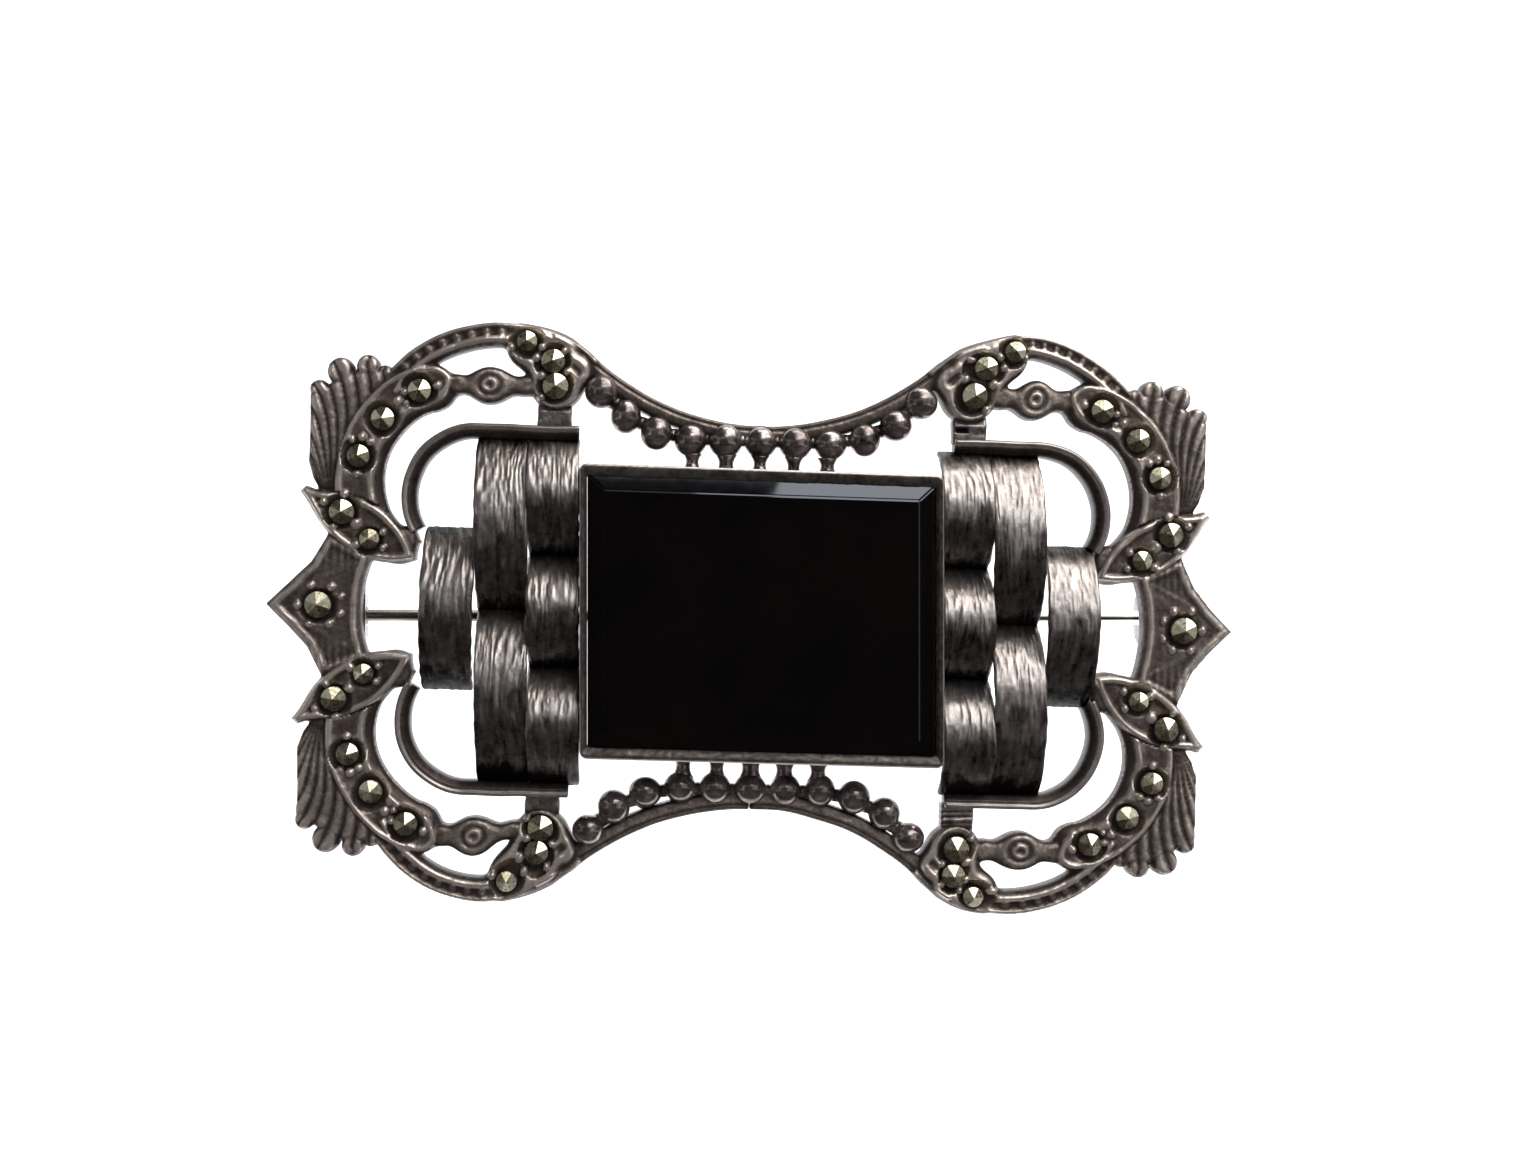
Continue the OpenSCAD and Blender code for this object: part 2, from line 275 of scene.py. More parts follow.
def polygon(x, z, corners):
    """Signed distance to a polygon, negative inside."""
    nearest = np.full(x.shape, np.inf)
    inside = np.zeros(x.shape, bool)
    for (ax, az), (bx, bz) in zip(corners, corners[1:] + corners[:1]):
        ex, ez = bx - ax, bz - az
        t = np.clip(((x - ax) * ex + (z - az) * ez) / (ex * ex + ez * ez), 0, 1)
        nearest = np.minimum(nearest, np.hypot(x - ax - t * ex, z - az - t * ez))
        crosses = (az > z) != (bz > z)
        side = x < ex * (z - az) / np.where(ez == 0, 1e-9, ez) + ax
        inside ^= crosses & side
    return np.where(inside, -nearest, nearest)


def melt(a, b, width):
    """Union of two distances with a fillet of the given width."""
    h = np.clip(0.5 + 0.5 * (b - a) / width, 0, 1)
    return b * (1 - h) + a * h - width * h * (1 - h)


def bump(distance, width):
    """A rounded ridge: 1 on its line and 0 at the given distance from it."""
    return np.clip(1 - (distance / width) ** 2, 0, 1) ** 1.5


def ridge(t, at, width, height):
    """A rounded ridge where t has the value at, or a groove if its height is negative."""
    return height * bump(t - at, width)


def shoulder(depth, width):
    """A quarter round: 0 at the outline and 1 at the given depth inside it."""
    t = np.clip(depth / width, 0, 1)
    return np.sqrt(1 - (1 - t) ** 2)


# ---------------------------------------------------------------- cast frame
# Places in one quarter, in millimetres from the centre. The scroll and the rail are arcs that touch
# at MEET, where each runs on a little into the other. The scroll's inner end is cut off along a line.
SCROLL, SCROLL_R, SCROLL_W, SCROLL_END = (16.3, 9.4), 8.65, 1.5, 0.53
RAIL_Z, RAIL_W, RUN_ON = 28, 1.12, 0.5
SPAN = math.hypot(SCROLL[0], RAIL_Z - SCROLL[1])
RAIL_R = SPAN - SCROLL_R
MEET = (SCROLL[0] * RAIL_R / (RAIL_R + SCROLL_R),
        RAIL_Z - (RAIL_Z - SCROLL[1]) * RAIL_R / (RAIL_R + SCROLL_R))
PAST_MEET = ((RAIL_Z - SCROLL[1]) / SPAN, SCROLL[0] / SPAN)
# The crescent is a stretch of a ring, from its flat foot to a round cap
CRESCENT, CRESCENT_IN, CRESCENT_OUT, CRESCENT_FOOT = (19.1, 8.1), 4.4, 7.4, 4.1
CAP, CAP_R, CAP_WAY = (CRESCENT[0] + 1.4, CRESCENT[1] + 5.7), 1.48, (-0.97, 0.23)
# The link is a slightly wide ring on a bar that lies level between the cluster and the crescent
RING, RING_R, RING_WIDE = (17, 14.1), 1.22, 0.88
BAR_X, BAR_HALF_L, BAR_HALF_W = 16.7, 2.7, 0.36
LEAF, LEAF_L, LEAF_W, LEAF_TURN = (24.6, 5), 8, 3.3, math.radians(30.6)
FAN_ROOT = (26.4, 6.6)
POINT_HOLLOW, POINT_HOLLOW_R = (15.25, 0), 9.1
# Lobes: x, z, radius, and the width of the fillet where each meets what is there already
CLUSTER = ((12.9, 14.3, 1.75, 0), (13.3, 15.6, 1.8, 0.4), (14.6, 16.6, 1.5, 0.5), (11.75, 15.05, 1.1, 0.5))
KNOBS = ((14.85, RING[1], 0.62, 0.5), (19.1, RING[1], 0.66, 0.5))
FAN_TIPS = ((23.4, 14.5, 0.5, 0.12), (24.45, 14.85, 0.72, 0.12), (26.1, 14.5, 0.85, 0.12),
            (27.4, 13.35, 0.62, 0.12))
JOINT = ((22, 4.3, 0.85, 0), (22.15, 3.75, 1.0, 0.4))
# Corners of the fan, of the barb on the leaf (along and across the leaf), and of the upper half of the point
FAN = [(22.4, 14.1), (23.8, 14.7), (25.2, 14.6), (26.6, 13.9), (28, 13),
       (28.05, 9), (27.7, 8), (27.2, 7.2), (24, 7), (22.4, 10)]
BARB = [(2.6, -0.6), (4.3, -0.1), (4.2, 0.35), (2.6, 0.7)]
POINT = [(23.8, 3.3), (26.6, 4.6), (27.5, 2.7), (28.7, 1.3), (30, 0)]
# How wide the fillet is where each element joins those before it, from the rail on
FILLETS = {"scroll": 0.05, "cluster": 0.35, "link": 0.25, "crescent": 0.3, "fan": 0.15, "leaf": 0.25,
           "joint": 0.3, "point": 0.2}
# Heights above the back: the plate's edge, the strips of the rail and scroll, and a stone's seat
EDGE, STRIP, SEAT = 1.3, 1.62, 1.42
# Grains raised beside the stones: x, z and radius
GRAINS = (
    (25.75, 7.05, .3), (26.95, 6.5, .27), (24.95, 5.2, .36), (26.3, 4.95, .25),
    (23.25, 4.75, .27), (23.15, 3.75, .25), (24.85, 3.9, .3),
    (25.1, 8.35, .26), (24.35, 10.35, .27), (24.85, 10.6, .3), (25.45, 10.4, .24),
    (22.35, 12.25, .28), (22.65, 12.85, .3), (22.1, 12.75, .2), (20.2, 13.9, .3), (22.2, 13.4, .24),
    (14.0, 14.75, .32), (12.4, 14.95, .26), (14.35, 15.85, .28), (12.6, 16.2, .25),
    (14.0, 16.5, .26), (15.8, 16.5, .26), (13.9, 13.35, .24),
    (28.0, 0, .28), (27.3, 1.2, .26), (26.15, 1.15, .28), (25.55, .55, .22),
)
# Where the hand-made piece strays from symmetry: x, z, how far right and up, and how far around that acts
STRAYS = ((15.2, 16.9, 0.84, 0.18, 2.3), (13.3, 15.3, 0.08, 0.32, 1.3),
          (13.9, -16.5, -0.9, -0.1, 2.1), (-13.3, -14.3, 0.3, 0.8, 2.3),
          (-17, 17, 0.1, -0.3, 4.5), (-24, 9, 0.35, -0.28, 6), (-13.2, 15, 0.35, -0.05, 3),
          (-23, -10, 0.3, 0.42, 5), (25, -6, 0.05, -0.33, 4), (-29.5, 0, -0.2, 0, 3))
# The setting sits a little to the right of the frame's middle and above it, and leans to the left
SETTING_SHIFT, SETTING_LIFT, SETTING_LEAN = 0.28, 0.1, 0.031
# How much wider the bezel and its stone are than their plain boxes
SETTING_SPREAD = 0.2


def stray(x, z):
    """How far right and up the piece is off its symmetric place."""
    right, up = 0 * x, 0 * z
    for px, pz, dx, dz, reach in STRAYS:
        share = np.exp(-((x - px) ** 2 + (z - pz) ** 2) / reach ** 2)
        right, up = right + dx * share, up + dz * share
    return right, up


def lobed(x, z, lobes, whole=None):
    """Discs run together with each other, and with the shape given."""
    for cx, cz, radius, fillet in lobes:
        lobe = disc(x, z, (cx, cz), radius)
        whole = lobe if whole is None else melt(whole, lobe, fillet)
    return whole


def leaf_shape(x, z):
    """A leaf between two arcs, with a barb at its outer end."""
    sag = LEAF_W / 2
    arc_r = ((LEAF_L / 2) ** 2 + sag ** 2) / (2 * sag)
    u = (x - LEAF[0]) * math.cos(LEAF_TURN) + (z - LEAF[1]) * math.sin(LEAF_TURN)
    v = (z - LEAF[1]) * math.cos(LEAF_TURN) - (x - LEAF[0]) * math.sin(LEAF_TURN)
    leaf = np.maximum(disc(u, v, (0, sag - arc_r), arc_r), disc(u, v, (0, arc_r - sag), arc_r))
    return melt(leaf, polygon(u, v, BARB) - 0.05, 0.3)


def frame_parts(x, z):
    """Distances to each element of the frame, from coordinates folded into one quarter."""
    past = beyond(x, z, MEET, PAST_MEET)
    rail = np.maximum(band(x, z, (0, RAIL_Z), RAIL_R, RAIL_R + RAIL_W), past - RUN_ON)
    scroll = np.maximum(band(x, z, SCROLL, SCROLL_R - SCROLL_W, SCROLL_R), -past - RUN_ON)
    scroll = np.maximum(scroll, beyond(x, z, SCROLL, (math.sin(SCROLL_END), -math.cos(SCROLL_END))))
    cluster = np.maximum(lobed(x, z, CLUSTER), disc(x, z, SCROLL, SCROLL_R))
    bar = np.maximum(np.abs(z - RING[1]) - BAR_HALF_W, np.abs(x - BAR_X) - BAR_HALF_L)
    ring = disc(RING[0] + (x - RING[0]) * RING_WIDE, z, RING, RING_R)
    link = melt(ring, lobed(x, z, KNOBS, bar), 0.75)
    crescent = np.maximum(band(x, z, CRESCENT, CRESCENT_IN, CRESCENT_OUT), beyond(x, z, CAP, CAP_WAY))
    crescent = np.maximum(melt(crescent, disc(x, z, CAP, CAP_R), 0.15), CRESCENT_FOOT - z)
    fan = lobed(x, z, FAN_TIPS, polygon(x, z, FAN))
    fan = np.maximum(fan, -disc(x, z, CRESCENT, CRESCENT_OUT - 0.3))
    point = polygon(x, z, POINT + [(px, -pz) for px, pz in POINT[-2::-1]])
    point = np.maximum(point, -disc(x, z, POINT_HOLLOW, POINT_HOLLOW_R))
    return {"rail": rail, "scroll": scroll, "cluster": cluster, "link": link, "crescent": crescent,
            "fan": fan, "leaf": leaf_shape(x, z), "joint": lobed(x, z, JOINT), "point": point}


def rail_height(x, z):
    """A rounded strip with a thin line cut near its outer edge."""
    t = disc(x, z, (0, RAIL_Z), RAIL_R)
    return STRIP + ridge(t, at=0.32, width=0.12, height=-0.12) - 0.2 * np.clip(t - 0.5, 0, 1)


def round_scroll(x, z):
    """The depth inside the scroll's outer edge, and the angle round its centre."""
    return -disc(x, z, SCROLL, SCROLL_R), np.arctan2(z - SCROLL[1], x - SCROLL[0])


def scroll_height(x, z):
    """An outer rim, a channel with a row of grains, and an inner rim that slopes away."""
    t, turn = round_scroll(x, z)
    spacing, row, grain_r, grain_high, last = 0.93, 0.62, 0.28, 0.16, math.radians(104)
    beside = (np.mod(turn / (spacing / (SCROLL_R - row)), 1) - 0.5) * spacing
    grains = np.clip(1 - (beside ** 2 + (t - row) ** 2) / grain_r ** 2, 0, 1) ** 0.5
    rims = STRIP + ridge(t, at=0.16, width=0.26, height=0.22) + ridge(t, at=1.06, width=0.34, height=0.4)
    return rims + grain_high * grains * (turn < last)


def cluster_height(x, z, depth):
    """A worn plate with a lip round its lower lobes and veins that run in from the rail."""
    t, turn = round_scroll(x, z)
    first, last, vein_high = math.radians(112), math.radians(133), 0.22
    veins = vein_high * (bump(t - 0.35, 0.16) + bump(t - 1.0, 0.18) + bump(t - 1.75, 0.2))
    veins = veins * np.clip((last - turn) / 0.1, 0, 1) * (turn > first)
    return 1.8 + ridge(depth, at=0.5, width=0.36, height=0.2) + veins


def link_height(x, z):
    """A raised ring with a boss in its dimple."""
    t = np.hypot((x - RING[0]) * 0.94, z - RING[1])
    ring = 1.78 + ridge(t, at=0.62, width=0.2, height=-0.1) + ridge(t, at=0.36, width=0.16, height=0.1)
    return np.where(t < RING_R - 0.2, ring + ridge(t, at=0, width=0.22, height=-0.08), 1.76)


def crescent_height(x, z, depth):
    """A sloping inner wall up to a sharp ridge, a trough for the stones and an outer ridge."""
    middle, inner_ridge, outer_ridge, top = 5.9, 0.72, 0.28, 1.72
    inner = np.clip((middle - disc(x, z, CRESCENT, 0)) * 1.2 + 0.5, 0, 1)
    at = inner_ridge * inner + outer_ridge * (1 - inner)
    crest = ridge(depth, at, width=0.26, height=0.26) + 0.12 * np.clip(1 - np.abs(depth - at) / 0.7, 0, 1)
    return EDGE + 0.05 + (top - EDGE) * np.clip(depth / at, 0, 1) + crest


def fan_height(x, z):
    """Flutes that run up from the root and spread, with a thin ridge between each pair."""
    flute_turn, bend, flute_high = math.radians(7), 0.16, 0.3
    r = disc(x, z, FAN_ROOT, 0)
    turn = np.arctan2(z - FAN_ROOT[1], x - FAN_ROOT[0]) - bend * np.sin(np.clip(r / 8.5, 0, 1) * math.pi)
    flute = np.sqrt(np.abs(np.sin(turn / flute_turn * math.pi + 0.9)))
    return 1.52 + 0.12 * np.clip((r - 1.5) / 4, 0, 1) + flute_high * flute * np.clip(r / 4, 0.3, 1)


def point_height(x, z, depth):
    """A plain plate with a faint raised border, fine lines across it and a scratch."""
    lines = 0.03 * np.sin(x * 14) * np.clip((z - 1.9) / 0.8, 0, 1)
    scratch = ridge(z + 0.5 * (x - 26), at=2.1, width=0.25, height=0.03)
    return 1.72 + ridge(depth, at=0.45, width=0.3, height=0.16) + lines + scratch


def frame_relief(x, z, stones):
    """Height of the cast front above the back, in millimetres, and the distance to the outline."""
    d = frame_parts(x, z)
    outline = d["rail"]
    for name, width in FILLETS.items():
        outline = melt(outline, d[name], width)
    high = np.full(x.shape, EDGE)

    def raise_to(name, height, width):
        nonlocal high
        high = np.maximum(high, EDGE + (height - EDGE) * shoulder(-d[name], width))

    raise_to("rail", rail_height(x, z), 0.3)
    raise_to("scroll", scroll_height(x, z), 0.26)
    raise_to("cluster", cluster_height(x, z, -d["cluster"]), 0.5)
    raise_to("link", link_height(x, z), 0.42)
    raise_to("crescent", crescent_height(x, z, -d["crescent"]), 0.12)
    raise_to("fan", fan_height(x, z), 0.4)
    # The leaf lies over its neighbours: a bright raised rim round a trough
    t = -d["leaf"]
    leaf = 1.68 + ridge(t, at=0.32, width=0.3, height=0.36) - 0.3 * (1 - shoulder(t, 0.2))
    high = np.where(t > 0, leaf, high)
    raise_to("joint", 1.75, 0.5)
    raise_to("point", point_height(x, z, -d["point"]), 0.3)
    high = np.minimum(high, EDGE - 0.15 + 0.95 * shoulder(-outline, 0.5))
    # Each stone sinks into a seat whose wall slopes up, and grains stand beside it
    for (sx, _, sz), size in stones:
        gap = disc(x, z, (abs(sx), abs(sz)), size[0] / 2)
        high = np.where(gap < 0.45, np.minimum(high, SEAT + 0.7 * np.clip(gap, 0, 1)), high)
    for gx, gz, gr in GRAINS:
        dome = np.clip(1 - (disc(x, z, (gx, gz), 0) / gr) ** 2, 0, 1) ** 0.5
        high = np.maximum(high, np.where(dome > 0, 1.6 + 0.5 * dome, 0))
    return high, outline


def blurred(field, cells):
    """The field averaged over a square of the given half width, twice over."""
    for axis in (0, 1, 0, 1):
        pad = [(cells + 1, cells) if k == axis else (0, 0) for k in (0, 1)]
        total = np.cumsum(np.pad(field, pad, mode="edge"), axis=axis)
        wide = 2 * cells + 1
        field = (np.take(total, range(wide, total.shape[axis]), axis)
                 - np.take(total, range(total.shape[axis] - wide), axis)) / wide
    return field


def closed_shell(front, back, quads):
    """Points and faces of two sheets with the same grid, joined all round by walls in three steps,
    and how many points stand on the rim."""
    count = len(front)
    directed = np.concatenate([quads[:, [k, (k + 1) % 4]] for k in range(4)])
    forward = directed[:, 0] * count + directed[:, 1]
    backward = directed[:, 1] * count + directed[:, 0]
    open_edges = directed[~np.isin(forward, backward)]
    rim = np.unique(open_edges)
    between = [front[rim] * (1 - share) + back[rim] * share for share in (0.33, 0.66)]
    new = 2 * count + np.arange(2 * len(rim)).reshape(2, -1)
    levels = [rim, new[0], new[1], count + rim]
    a, b = np.searchsorted(rim, open_edges).T
    walls = [np.stack([upper[b], upper[a], lower[a], lower[b]], -1)
             for upper, lower in zip(levels, levels[1:])]
    faces = np.concatenate([quads, quads[:, ::-1] + count] + walls)
    return np.concatenate([front, back] + between), faces, len(rim)


def cast_half(name, node, side, material):
    """Half of the frame: the relief over a fine grid whose rim is drawn onto the outline."""
    pitch, margin = 0.09, 0.5
    low, corner = box_mm(node)
    x, z = np.meshgrid(np.arange(-margin, corner[0] - low[0] + margin, pitch),
                       np.arange(low[2] - margin, corner[2] + margin, pitch), indexing="ij")
    sx = x * side
    upper = [s for row in stone_rows(side) for s in islands(row) if s[0][2] > -1]
    warp_x = 0.05 * value_noise(sx / 2.3 + 40, z / 2.3 + 40, 3)
    warp_z = 0.05 * value_noise(sx / 2.1 + 80, z / 2.1 + 20, 4)
    right, up = stray(sx, z)
    height, outline = frame_relief(np.abs(x - side * right + warp_x), np.abs(z - up + warp_z), upper)
    # The two halves meet in the middle of the rails, with a dip for the solder
    outline = np.maximum(outline, 0.03 - x)
    height = height - 0.1 * bump(x, 0.22) * (x > 0)
    ground = np.where(outline < 0, height, EDGE + 0.35)
    # Wear lowers the tops unevenly, and the cast skin is a little rough
    height = height - 0.07 * np.clip(height - 1.75, 0, 0.4) * (3 + 3 * value_noise(sx / 0.9, z / 0.9, 9))
    height = height + 0.018 * value_noise(sx / 0.22, z / 0.22, 5) + 0.03 * value_noise(sx / 0.8, z / 0.8, 6)
    # Which grid points belong to the casting, and the slope of the distance there
    gx, gz = np.gradient(outline, pitch)
    steep = np.maximum(gx ** 2 + gz ** 2, 0.2)
    rim = outline > -0.4 * pitch
    inner = ~rim
    cell = inner[:-1, :-1] | inner[1:, :-1] | inner[1:, 1:] | inner[:-1, 1:]
    used = np.zeros(x.shape, bool)
    for di, dj in ((0, 0), (1, 0), (1, 1), (0, 1)):
        used[di:di + cell.shape[0], dj:dj + cell.shape[1]] |= cell
    index = np.full(x.shape, -1)
    index[used] = np.arange(used.sum())
    # Points near the outline move onto it, and both sheets round off towards it
    shift = np.where(rim, outline / steep, 0)
    px, pz = (x - shift * gx) * side, z - shift * gz
    front = np.where(rim, EDGE - 0.15, height)
    back = 0.14 * (1 - shoulder(-outline, 0.3)) * ~rim + 0.14 * rim
    back = back + 0.012 * (1 + value_noise(sx / 0.5, z / 0.5, 7))
    i, j = np.nonzero(cell)
    quads = np.stack([index[i, j], index[i + 1, j], index[i + 1, j + 1], index[i, j + 1]], -1)
    points, faces, rim_count = closed_shell(np.stack([px, -front, pz], -1)[used],
                                            np.stack([px, -back, pz], -1)[used], quads)
    if side < 0:
        faces = faces[:, ::-1]
    # Wear: more where the front stands above its surroundings, nearly even on the back, little on the walls
    front_wear_and_painted_light = np.clip(0.44 + (ground - blurred(ground, 5))[used] * 4, 0, 1)
    back_wear = 0.35 + 0.12 * value_noise(sx / 1.5, z / 1.5, 8)[used]
    wear_and_painted_light = np.concatenate([front_wear_and_painted_light, back_wear, np.full(2 * rim_count, 0.15)])
    return piece(name, points, faces.tolist(), [node], material, wear_and_painted_light=wear_and_painted_light)


def stone_rows(side):
    word = "right" if side > 0 else "left"
    return (f"upper_{word}_marcasites", f"lower_{word}_marcasites", f"{word}_point_marcasite")


# ---------------------------------------------------------------- ribbons
VALLEY, RIBBON_THICK, RIBBON_WIDER = 0.75, 0.4, 0.25
# Each wave's start, top and stop along Z. The ribbon's own ends are written None.
INNER_WAVES = ((None, -6.9, -3.45), (-3.45, 0, 3.45), (3.45, 6.9, None))
MIDDLE_WAVES = ((None, -4.9, 0), (0, 4.9, None))
OUTER_WAVES = ((None, 0, None),)


def ribbon_line(waves, end, crest):
    """The ribbon's centre line as [z, y], its waves rounded where they meet, in even steps."""
    line = []
    for start, top, stop in waves:
        before = top + end if start is None else top - start
        after = end - top if stop is None else stop - top
        for u in np.linspace(-1, 1, 140, endpoint=False):
            arch = (1 - abs(u) ** 2.1) ** 0.8
            line.append((top + u * (before if u < 0 else after),
                         VALLEY + (crest - RIBBON_THICK - VALLEY) * arch + RIBBON_THICK / 2))
    line.append((end, VALLEY + RIBBON_THICK / 2))
    line = np.array(line)
    for _ in range(14):
        line[1:-1] = (line[:-2] + 2 * line[1:-1] + line[2:]) / 4
    length = run_length(line)
    steps = np.linspace(0, length[-1], int(length[-1] / 0.085))
    return np.stack([np.interp(steps, length, line[:, 0]), np.interp(steps, length, line[:, 1])], -1), steps


def ribbon(name, node, waves, material, seed):
    """A strip of silver with a bark-like surface of fine lines along it, bent into waves."""
    low, high = box_mm(node)
    width, across = high[0] - low[0] + RIBBON_WIDER, 72
    line, steps = ribbon_line(waves, high[2], -low[1])
    run = np.gradient(line, axis=0)
    run = run / np.hypot(run[:, 0], run[:, 1])[:, None]
    line_z, line_y = line[:, :1], line[:, 1:]
    out_z, out_y = -run[:, 1:], run[:, :1]
    s, w = np.meshgrid(steps, np.linspace(0, width, across), indexing="ij")
    # Bark: strands, flakes and nicks that follow slightly wandering lines along the strip
    lean = w + 0.3 * value_noise(s / 3.2 + seed, w / 1.4, seed + 1)
    strands = value_noise(lean / 0.12, s / 0.9 + 7, seed + 2)
    flakes = value_noise(lean / 0.24 + 9, s / 0.8, seed + 3)
    nicks = value_noise(lean / 0.14 + 5, s / 0.26, seed + 4)
    bark = 0.018 * strands + 0.026 * flakes + 0.008 * nicks
    round_off = 0.13 * (1 - np.sqrt(1 - np.clip(1 - np.minimum(w, width - w) / 0.16, 0, 1) ** 2))
    ragged = 0.035 * value_noise(s / 0.6, w * 0 + 3, seed + 5)
    # Place across the brooch: the setting's shift and lean, and a little spread towards the crests
    centre = abs(low[0] + high[0]) / 2
    side = math.copysign(1, low[0])
    middle = side * (1.03 * centre - 0.53) + SETTING_SHIFT
    if waves is INNER_WAVES:
        middle = middle + 0.15 * side
    if waves is not OUTER_WAVES:
        middle = middle - SETTING_LEAN * line_z
    spread = (w - width / 2) * (1 + 0.05 * (line_y / -low[1] - 0.65))
    x = middle + spread + ragged * np.sign(spread) * (np.abs(w - width / 2) / (width / 2)) ** 6

    def face(lift):
        return np.stack([x, -(line_y + out_y * lift), line_z + out_z * lift], -1)

    front = face(RIBBON_THICK / 2 + bark - round_off)
    back = face(-RIBBON_THICK / 2 + 0.35 * bark + round_off)
    points, faces = loft(np.concatenate([front, back[:, ::-1]], 1))
    # The dark skin stays at the ends, with a ragged edge. Painted light and shade: the slopes that face up
    # are lighter and those that face down darker, and the valleys darker, partly from the skin and partly as
    # painted shade
    patch = 1.3 * value_noise(s / 1.3 + 3, w / 0.6, seed + 6)
    patch = patch + 0.5 * value_noise(lean / 0.16, s / 0.7, seed + 7)
    # Darker in the valleys: partly the skin left there, partly painted shade
    valley_oxide_and_shade = np.clip(1.2 - 2.2 * (line_y - VALLEY) / (-low[1] - VALLEY), 0, 1)
    ends = np.clip(1.35 - (high[2] - np.abs(line_z)) / 0.9 + 0.5 * patch, 0, 1)
    # Painted light: lighter on the slopes that face up and darker on those that face down, as light from
    # above falls
    painted_light_from_above = np.clip(0.55 + 5 * (out_z + 0.3 * patch), 0, 1)
    front_wear_and_painted_light = np.clip(0.34 + 0.4 * painted_light_from_above - 0.4 * valley_oxide_and_shade - 0.3 * ends + bark * 4.5, 0, 1)
    # The back gets a weaker copy of the front, painted light and shade included
    wear_and_painted_light = np.concatenate([front_wear_and_painted_light, (front_wear_and_painted_light * 0.4)[:, ::-1]], 1).reshape(-1)
    return piece(name, points, flipped(faces), [node], material, wear_and_painted_light=wear_and_painted_light)


# ---------------------------------------------------------------- bent wires and tabs
WIRE_C, WIRE_W, WIRE_END = (17.45, 6.9), 0.9, math.radians(-31)


def wire(name, node, side_x, side_z, material, seed):
    """A flat wire on edge: straight beside the ribbons' ends, then bent round to the leaf."""
    low, high = box_mm(node)
    shorter = 0.9 if side_x > 0 else 0
    start = min(abs(low[0]), abs(high[0])) + shorter
    outer = max(abs(low[2]), abs(high[2]))
    deep = -low[1]
    middle = outer - WIRE_W / 2
    radius = middle - WIRE_C[1]
    path = [(x, middle, 0, 1) for x in np.linspace(start, WIRE_C[0], 60, endpoint=False)]
    for a in np.linspace(math.pi / 2, WIRE_END, 90):
        cos, sin = math.cos(a), math.sin(a)
        path.append((WIRE_C[0] + radius * cos, WIRE_C[1] + radius * sin, cos, sin))
    half = WIRE_W / 2
    # Section as (distance outwards, depth): the front edge is a ridge nearer the outer side
    crest = [(half - 0.08 * k, deep * (0.93 + 0.07 * math.sin(k * math.pi / 4))) for k in range(5)]
    slope = [(half - 0.32 - k * (2 * half - 0.4) / 5, deep * (1 - 0.035 * k)) for k in range(1, 6)]
    outer_wall = [(half, 0.1), (half, deep * 0.5), (half + 0.02, deep * 0.88)]
    inner_wall = [(-half, deep * 0.74), (-half, deep * 0.4), (-half, 0.1)]
    under = [(-half + 0.1, 0), (half - 0.1, 0)]
    section = np.array(outer_wall + crest + slope + inner_wall + under)
    sections = []
    for k, (x, z, nx, nz) in enumerate(path):
        wobble = 0.035 * value_noise(np.array([k / 14.0]), np.array([0.5]), seed)[0]
        out = section[:, 0] + wobble
        sections.append(np.stack([side_x * (x + nx * out), -section[:, 1], side_z * (z + nz * out)], -1))
    points, faces = loft(sections)
    if side_x * side_z < 0:
        faces = flipped(faces)
    wear_and_painted_light = [0.3, 0.2, 0.5] + [0.95] * len(crest) + [0.55, 0.4, 0.3, 0.25, 0.35] + [0.3, 0.15, 0.3, 0.5, 0.5]
    return piece(name, points, faces, [node], material, wear_and_painted_light=wear_and_painted_light * len(path))


def tab(name, node, side_z, material, seed, slot=False, lined=False):
    """A short flat strip between a wire and its cluster, worn bright, with a slot or filed lines."""
    low, high = box_mm(node)
    width, deep = high[0] - low[0], -low[1]
    near, far = sorted((abs(low[2]), abs(high[2])))
    z, w = np.meshgrid(np.arange(near - 0.2, far, 0.07), np.linspace(0, width, 30), indexing="ij")
    wave = 0.03 * value_noise(w / 0.5, z / 0.4, seed) + 0.015 * value_noise(w / 0.15, z / 0.15, seed + 1)
    if lined:
        wave = wave + 0.04 * np.sin(z * 18 + w)
    if slot:
        outside = np.maximum(np.abs(w - 0.55) / 0.3, np.abs(z - near - 0.62) / 0.12)
        wave = wave - 0.3 * np.clip(1.5 - outside, 0, 1)
    edge = 0.12 * (1 - shoulder(np.minimum(w, width - w), 0.15))
    tuck = 0.3 * np.clip((z - near - 0.9) / (far - near - 0.9), 0, 1)
    front = deep - 0.06 + wave - edge - tuck
    ragged = 0.04 * value_noise(z / 0.5, w * 0, seed + 2) * np.where(w > width / 2, 1, -1)
    ragged = ragged * (np.abs(w - width / 2) / (width / 2)) ** 4
    right, _ = stray((low[0] + high[0]) / 2, side_z * far)
    x = low[0] + right + w + ragged
    top = np.stack([x, -front, z * side_z], -1)
    under = np.stack([x, -edge, z * side_z], -1)
    points, faces = loft(np.concatenate([top, under[:, ::-1]], 1))
    if side_z > 0:
        faces = flipped(faces)
    bright = np.clip(0.75 + wave * 5, 0, 1)
    wear_and_painted_light = np.concatenate([bright, bright[:, ::-1] * 0.5], 1).reshape(-1)
    return piece(name, points, faces, [node], material, wear_and_painted_light=wear_and_painted_light)


# ---------------------------------------------------------------- beads and posts
def globe(work, centre, radius, squash):
    size = [radius * share * MM for share in squash]
    place = Matrix.Translation(Vector(centre) * MM) @ Matrix.Diagonal((*size, 1))
    bmesh.ops.create_uvsphere(work, u_segments=28, v_segments=14, radius=1, matrix=place)


